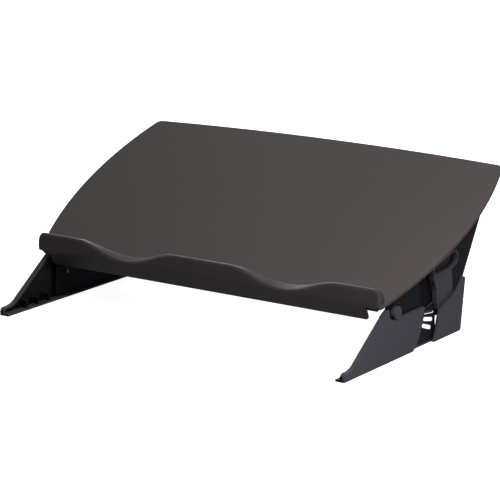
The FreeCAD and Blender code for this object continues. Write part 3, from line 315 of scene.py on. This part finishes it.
def metal(name, colour, roughness, stretch):
    """A metal whose drawing lines run along the axis that stretch makes small."""
    material = new_material(name)
    place = node(material, "ShaderNodeTexCoord").outputs["Object"]
    lines = node(material, "ShaderNodeMapping", None, Vector=place, Scale=stretch)
    streak = node(material, "ShaderNodeTexNoise", Vector=lines.outputs[0],
                  Scale=1 / (STREAK_MM * MM), Detail=2.0)
    gloss = node(material, "ShaderNodeMapRange", None, Value=streak.outputs["Fac"],
                 To_Min=roughness - GLOSS_BELOW, To_Max=roughness + GLOSS_ABOVE)
    relief = node(material, "ShaderNodeBump", Height=streak.outputs["Fac"], Distance=0.01 * MM,
                  Strength=0.5)
    skin = node(material, "ShaderNodeBsdfPrincipled", Base_Color=linear(colour), Metallic=1.0,
                Roughness=gloss.outputs[0], Normal=relief.outputs[0])
    node(material, "ShaderNodeOutputMaterial", Surface=skin.outputs[0])
    return material


drawn_steel = metal("steel_drawn", "#b4b6b8", 0.3, (0.02, 1, 1))
zinc_steel = metal("steel_zinc_plated", "#bcbdb8", 0.38, (1, 1, 1))
black_steel = metal("steel_blackened", "#1d1d20", 0.45, (1, 1, 1))
painted_steel = moulded("rail_painted_steel", "#1b1c1f", 0.35, 1.4, 0.02, 0.4)
rubber = moulded("rubber_moulded", "#1a1a1b", 0.85, 0.9, 0.06, 0.4)
acetal = moulded("acetal_machined", "#26262a", 0.4, 1.2, 0.01, 0.2)

finish = {
    "platform_plate": platform_abs, "ledge": ledge_abs, "carrier_deck": black_abs,
    "rubber_feet": rubber, "rail_buffers": rubber,
}
for side in ("left", "right"):
    finish[side + "_leg"] = leg_abs
    finish[side + "_latch_lever"] = lever_abs
    finish[side + "_pivot_cap"] = cap_abs
    finish[side + "_height_plate"] = finish[side + "_side_panel"] = black_abs
    finish[side + "_pivot_bush"] = finish[side + "_runner"] = acetal
    finish[side + "_rail"] = painted_steel
    for steel in ("_pivot_pin", "_lever_pin", "_lever_spring"):
        finish[side + steel] = drawn_steel
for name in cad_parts:
    if name.endswith("_screws"):
        finish[name] = zinc_steel
finish["height_plate_screws"] = finish["panel_screws"] = black_steel


def dress(piece, material):
    """Give a whole piece one material."""
    piece.data.materials.clear()
    piece.data.materials.append(material)


for name, material in finish.items():
    dress(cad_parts[name], material)
print("dressed", len(finish), "of", len(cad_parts), "nodes")

# %% [markdown]
# ## Ledge
#
# The bar that a page stands on is one long moulding with a soft, rolled crest, which dips twice
# along its length, so that a thumb can reach the foot of the page. Its section changes all the
# way along, so it is swept: one closed ring of edges is extruded again and again along X, and each
# new ring is set to the section at its place. A boolean of a block and a wavy cutter would leave a
# knife edge all round each dip, where the real edge is several millimetres round.
#
# First come its faces: how far back the front and the rear lie at a height, and how high the top
# lies at a place. The dips are cosines along X, and the top meets them softly.

# %% Faces of the ledge
# All lengths are in mm. The names that end in ALONG are measured up the slope of the platform.
TILT = math.radians(24.46)
RISE, MIDDLE = 34.4, 179.4648
LEDGE_HALF, SKIRT_HALF, SKIRT_CORNER, SKIRT_DROP, SEAT = 248.6, 231.5, 3.0, 18.0, 0.2
SKIRT_FRONT_ALONG, SKIRT_BACK_ALONG, BACK_ALONG, BACK_HIGH = 83.5, 86.2, 100.0, 16.5
BEND_LOW, BEND_SPAN, BEND_Y, BEND_Z = 68.0, 8.0, 75.0, 72.0
UPRIGHT_LEAN, KNEE_Z = 0.6 / 20.6, 69.4
CREST_Y, CREST_Z, END_CORNER = 76.6, 92.6, 9.0
TOP_BREAK_Y, TOP_FALL, TOP_WIDTH, SOFT_MEET = 78.6, 0.318, 11.4, 1.8
DIP_PLACE, DIP_HALF, DIP_DEPTH, DIP_SPREAD = 116.0, 86.0, 20.0, 12.0
DIP_RISE, DIP_SPARE, CREST_SPARE = math.radians(15.5), 0.8, 1.8


def on_slope(along, above):
    """Side-view place (y, z), in mm from the desk's front line, of a point on the platform."""
    return (along * math.cos(TILT) - above * math.sin(TILT),
            RISE + along * math.sin(TILT) + above * math.cos(TILT))


def face_at(height):
    """How far back the ledge's front face lies at a height: skirt, bend and upright face."""
    low_y, low_z = on_slope(SKIRT_FRONT_ALONG, -SKIRT_DROP)
    lean = (BEND_Y - low_y) / (BEND_Z - low_z)
    bend = min(max((height - BEND_LOW) / BEND_SPAN, 0.0), 1.0)
    before = BEND_Y + lean * (min(height, BEND_LOW) - BEND_Z)
    within = BEND_SPAN * (lean * (bend - bend ** 2 / 2) + UPRIGHT_LEAN * bend ** 2 / 2)
    return before + within + UPRIGHT_LEAN * max(height - BEND_LOW - BEND_SPAN, 0.0)


def top_at(x, y):
    """Height of the ledge's top at a place: its own slope, less the dips and the end corners."""
    behind = (y - CREST_Y) / TOP_WIDTH
    high = CREST_Z + DIP_SPARE + (y - CREST_Y) * math.tan(DIP_RISE)
    away = (abs(x) - DIP_PLACE) / (DIP_HALF + DIP_SPREAD * behind)
    dip = DIP_DEPTH * (1 + math.cos(math.pi * away)) / 2 if abs(away) < 1 else 0.0
    past = max(abs(x) - (LEDGE_HALF - END_CORNER), 0.0)
    end = END_CORNER - math.sqrt(max(END_CORNER ** 2 - past ** 2, 0.0))
    own = CREST_Z - max(y - TOP_BREAK_Y, 0.0) * TOP_FALL
    cut = high + (CREST_SPARE - DIP_SPARE) * (1 - dip / DIP_DEPTH) - dip - end
    return own - SOFT_MEET * math.log(1.0 + math.exp((own - cut) / SOFT_MEET))


def back_at(height):
    """How far back the ledge's rear face lies at a height."""
    high, low = on_slope(BACK_ALONG, BACK_HIGH), on_slope(BACK_ALONG, SEAT)
    share = (height - low[1]) / (high[1] - low[1])
    return low[0] + (high[0] - low[0]) * min(max(share, 0.0), 1.0)


print("ledge's top, mm: crest", round(top_at(0, CREST_Y), 1), "dip",
      round(top_at(DIP_PLACE, CREST_Y), 1))

# %% [markdown]
# The section goes once round the ledge. Its front corner is rolled over by a curve with a reach of
# a few millimetres, and its rear edge is rounded a little. Where the rear face and the sloping top
# meet is found by trying again a few times, since each depends on the other. The skirt below stops
# short of both ends, so there the section is drawn without it.

# %% Section of the ledge
CORNER_Y, ROLL_REACH, ROLL_SPARE, BACK_ROUND = 75.6, 4.6, 0.4, 1.2
FACE_STEPS, ROLL_STEPS, TOP_STEPS, ROUND_STEPS = 7, 10, 4, 4
FIRST_BACK, BACK_TRIES = 84.2, 12


def rolled(first, corner, last, steps):
    """Points of the curve that rounds a corner off, from first to last."""
    turns = [step / steps for step in range(steps + 1)]
    return [tuple((1 - t) ** 2 * a + 2 * t * (1 - t) * b + t ** 2 * c
                  for a, b, c in zip(first, corner, last)) for t in turns]


def ledge_section(x, skirt_lift):
    """The closed section at a place along X, as (y, z) in mm, front foot first."""
    knee = (face_at(KNEE_Z), KNEE_Z)
    foot = on_slope(SKIRT_FRONT_ALONG, -SKIRT_DROP + skirt_lift)
    heel = on_slope(SKIRT_BACK_ALONG, -SKIRT_DROP + skirt_lift)
    inner, seat_back = on_slope(SKIRT_BACK_ALONG, SEAT), on_slope(BACK_ALONG, SEAT)
    if skirt_lift >= SKIRT_DROP:
        foot, heel = knee, inner
    crest_z = top_at(x, CORNER_Y)
    corner = (face_at(crest_z), crest_z)
    reach = min(ROLL_REACH, corner[1] - KNEE_Z - ROLL_SPARE)
    low = (face_at(corner[1] - reach), corner[1] - reach)
    high = (corner[0] + reach, top_at(x, corner[0] + reach))
    points = [foot, knee]
    for step in range(1, FACE_STEPS):
        height = KNEE_Z + (low[1] - KNEE_Z) * step / FACE_STEPS
        points.append((face_at(height), height))
    points += rolled(low, corner, high, ROLL_STEPS)
    back = FIRST_BACK
    for _ in range(BACK_TRIES):
        back = back_at(top_at(x, back))
    rear = (back, top_at(x, back))
    for step in range(1, TOP_STEPS + 1):
        y = high[0] + (rear[0] - BACK_ROUND - high[0]) * step / TOP_STEPS
        points.append((y, top_at(x, y)))
    drop = max(min(BACK_ROUND, 0.5 * (rear[1] - seat_back[1])), 0.0)
    last = (back_at(rear[1] - drop), rear[1] - drop)
    points += rolled(points[-1], rear, last, ROUND_STEPS)[1:]
    return points + [seat_back, inner, heel]


print("section has", len(ledge_section(0.0, 0.0)), "points")

# %% [markdown]
# The sweep needs a ring every 2 mm for the wave, and closer ones where the skirt's corners and the
# ledge's ends are rounded. Extruding the ring's edges makes the band of faces to the next ring,
# and the ends are filled last. The finished mesh is merged, because at the ends the section's
# skirt points fall together, and its normals are then turned outwards.

# %% Sweep of the ledge
MERGE_MM, TRUE_EDGE = 0.01, math.radians(32)


def piece_from(name, form):
    """Finish a bmesh: merge, face outwards, smooth but for true edges, and make it an object."""
    bmesh.ops.remove_doubles(form, verts=form.verts, dist=MERGE_MM * MM)
    bmesh.ops.recalc_face_normals(form, faces=form.faces)
    for face in form.faces:
        face.smooth = True
    for edge in form.edges:
        edge.smooth = len(edge.link_faces) == 2 and edge.calc_face_angle(0.0) < TRUE_EDGE
    mesh = bpy.data.meshes.new(name)
    form.to_mesh(mesh)
    form.free()
    piece = bpy.data.objects.new(name, mesh)
    bpy.context.collection.objects.link(piece)
    return piece


def quarter(outermost, radius, steps, first=0):
    """Places along a quarter circle that ends at outermost, as (distance, rise)."""
    angles = [math.pi / 2 * step / steps for step in range(first, steps + 1)]
    return [(outermost - radius * (1 - math.sin(angle)), radius * (1 - math.cos(angle)))
            for angle in angles]


STATION_STEP, STATION_COUNT, CORNER_STEPS, END_STEPS = 2.0, 114, 6, 12
half_run = [(STATION_STEP * number, 0.0) for number in range(STATION_COUNT)]
half_run += quarter(SKIRT_HALF, SKIRT_CORNER, CORNER_STEPS) + [(SKIRT_HALF, SKIRT_DROP)]
half_run += [(x, SKIRT_DROP) for x, _ in quarter(LEDGE_HALF, END_CORNER, END_STEPS, 1)]
run = [(-x, lift) for x, lift in reversed(half_run[1:])] + half_run


def set_ring(ring, x, lift):
    """Move a ring's points to the section at a place along X."""
    for vert, (y, z) in zip(ring, ledge_section(x, lift)):
        vert.co = (x * MM, (y - MIDDLE) * MM, z * MM)


def extruded(form, ring, edges):
    """Extrude a ring of edges; the new ring keeps the old one's order."""
    grown = bmesh.ops.extrude_edge_only(form, edges=edges)["geom"]
    fresh = {item for item in grown if isinstance(item, bmesh.types.BMVert)}
    onward = [next(edge.other_vert(vert) for edge in vert.link_edges
                   if edge.other_vert(vert) in fresh) for vert in ring]
    return onward, [item for item in grown if isinstance(item, bmesh.types.BMEdge)
                    and fresh.issuperset(item.verts)]


form = bmesh.new()
ring = [form.verts.new() for _ in ledge_section(*run[0])]
edges = [form.edges.new(pair) for pair in zip(ring, ring[1:] + ring[:1])]
set_ring(ring, *run[0])
bmesh.ops.contextual_create(form, geom=edges)
for x, lift in run[1:]:
    ring, edges = extruded(form, ring, edges)
    set_ring(ring, x, lift)
bmesh.ops.contextual_create(form, geom=edges)
ledge = piece_from("ledge_moulding", form)
dress(ledge, ledge_abs)
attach(ledge, "platform")
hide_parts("ledge")
print("ledge", len(ledge.data.polygons), "faces in", len(run), "sections")

# %% [markdown]
# ## Felt pads
#
# Four thick felt discs lie on the carrier's deck and take the platform's weight, so that it glides
# without a rattle. Felt is punched from a sheet: the rim is straight but furry, and worn round
# where it meets the faces. Each disc is a profile turned about its own axis, and then the points
# of its rim are pushed in by up to a tenth of a millimetre. The material adds the fibres: a short
# noise for relief and colour, and sheen, which is the light caught by hairs that stand up.

# %% Felt pads
PAD_RADIUS, PAD_LOW, PAD_HIGH, PAD_STEPS = 9.0, -11.0, -4.02, 36
PAD_FUZZ, FUZZ_SCALE, FUZZ_MARGIN, FIBRE_MM, HAIR_MM = 0.12, 0.9, 0.5, 0.5, 0.3
# Each pair is how far a point lies inside the rim, and above the foot or below the top, in mm.
PAD_FOOT = ((0.9, 0.1), (0.2, 0.9), (0.1, 1.2), (0.1, 2.2), (0.1, 3.2), (0.1, 4.2))
PAD_SHOULDER, PAD_CROWN = ((0.2, 0.9), (0.9, 0.2)), 0.02
PAD_ACROSS, PADS_ALONG = 210.0, (152.0, 353.0)
PAD_PLACES = [(side * PAD_ACROSS, along) for side in (-1, 1) for along in PADS_ALONG]


def felt_disc(form, across, along):
    """Turn one pad's profile about its axis, roughen the rim, and set it down on the deck."""
    spokes = [PAD_RADIUS * share for share in (0.25, 0.5, 0.75)]
    profile = [(0.0, PAD_LOW)] + [(radius, PAD_LOW) for radius in spokes]
    profile += [(PAD_RADIUS - inside, PAD_LOW + above) for inside, above in PAD_FOOT]
    profile += [(PAD_RADIUS - inside, PAD_HIGH - below) for inside, below in PAD_SHOULDER]
    profile += [(radius, PAD_HIGH - PAD_CROWN) for radius in reversed(spokes)]
    profile += [(0.0, PAD_HIGH)]
    placed = set(form.verts)
    line = [form.verts.new((radius, 0.0, height)) for radius, height in profile]
    wires = [form.edges.new(pair) for pair in zip(line, line[1:])]
    bmesh.ops.spin(form, geom=line + wires, cent=(0, 0, 0), axis=(0, 0, 1),
                   angle=2 * math.pi, steps=PAD_STEPS, use_merge=True)
    for vert in set(form.verts) - placed:
        radius = math.hypot(vert.co.x, vert.co.y)
        if PAD_LOW + FUZZ_MARGIN < vert.co.z < PAD_HIGH - FUZZ_MARGIN and radius > 0:
            push = -PAD_FUZZ * (noise.noise(vert.co * FUZZ_SCALE) + 1) / 2 / radius
            vert.co.x *= 1 + push
            vert.co.y *= 1 + push
        y, z = on_slope(along + vert.co.y, vert.co.z)
        vert.co = ((across + vert.co.x) * MM, (y - MIDDLE) * MM, z * MM)


form = bmesh.new()
for across, along in PAD_PLACES:
    felt_disc(form, across, along)
pads = piece_from("felt_discs", form)
felt = new_material("felt_black_wool")
place = node(felt, "ShaderNodeTexCoord").outputs["Object"]
fibre = node(felt, "ShaderNodeTexNoise", Vector=place, Scale=1 / (FIBRE_MM * MM), Detail=4.0,
             Roughness=0.7)
wool = node(felt, "ShaderNodeMix", {"data_type": "RGBA"}, _0=fibre.outputs["Fac"],
            _6=linear("#1c1c1e"), _7=linear("#3a3a3d"))
fur = node(felt, "ShaderNodeBump", Height=fibre.outputs["Fac"], Distance=HAIR_MM * MM, Strength=0.8)
cloth = node(felt, "ShaderNodeBsdfPrincipled", Base_Color=wool.outputs[2], Roughness=0.95,
             Normal=fur.outputs[0], Sheen_Weight=0.3)
node(felt, "ShaderNodeOutputMaterial", Surface=cloth.outputs[0])
dress(pads, felt)
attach(pads, "carrier")
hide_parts("felt_pads")
print("felt pads", len(pads.data.polygons), "faces")
